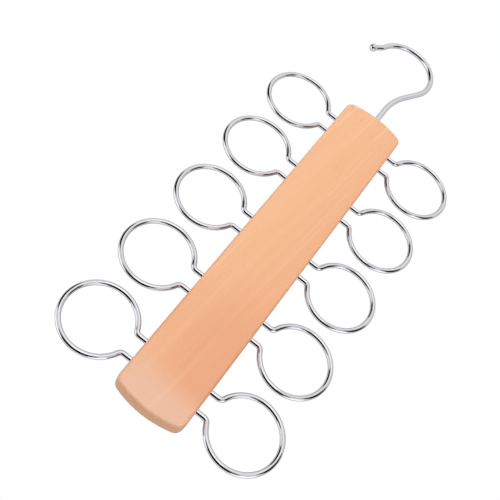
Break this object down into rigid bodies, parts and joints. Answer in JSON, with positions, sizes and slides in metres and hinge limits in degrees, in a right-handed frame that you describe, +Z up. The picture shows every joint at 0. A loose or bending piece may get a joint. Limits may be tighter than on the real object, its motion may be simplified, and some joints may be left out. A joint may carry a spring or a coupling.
{
  "type": "scarf hanger",
  "caption": "Flat wooden hanger bar with a row of open wire loops down each long edge for scarves and a round wire hook that swivels in its top end.",
  "frame": {"origin": "inside of the hook's crown, where the hook rests on a rod", "axes": "+Z up along the bar, +X across the bar, and the front face looks along -Y"},
  "size_m": [0.1623, 0.012, 0.3925],
  "materials": {
    "wood": "satin lacquer",
    "loop_wire": "polished",
    "hook_wire": "polished",
    "bushing": "turned"
  },
  "bodies": {
    "hook": {"hook": "hook_wire"},
    "hanger": {"wooden_bar": "wood", "hook_bushing": "bushing", "loop_left_1": "loop_wire", "loop_left_2": "loop_wire", "loop_left_3": "loop_wire", "loop_left_4": "loop_wire", "loop_left_5": "loop_wire", "loop_right_1": "loop_wire", "loop_right_2": "loop_wire", "loop_right_3": "loop_wire", "loop_right_4": "loop_wire", "loop_right_5": "loop_wire"}
  },
  "joints": [
    {"name": "hook_swivel", "type": "hinge", "parent": "hook", "child": "hanger", "pos_m": [0.00874, 0, -0.09014], "axis": [0, 0, 1], "continuous": true}
  ]
}
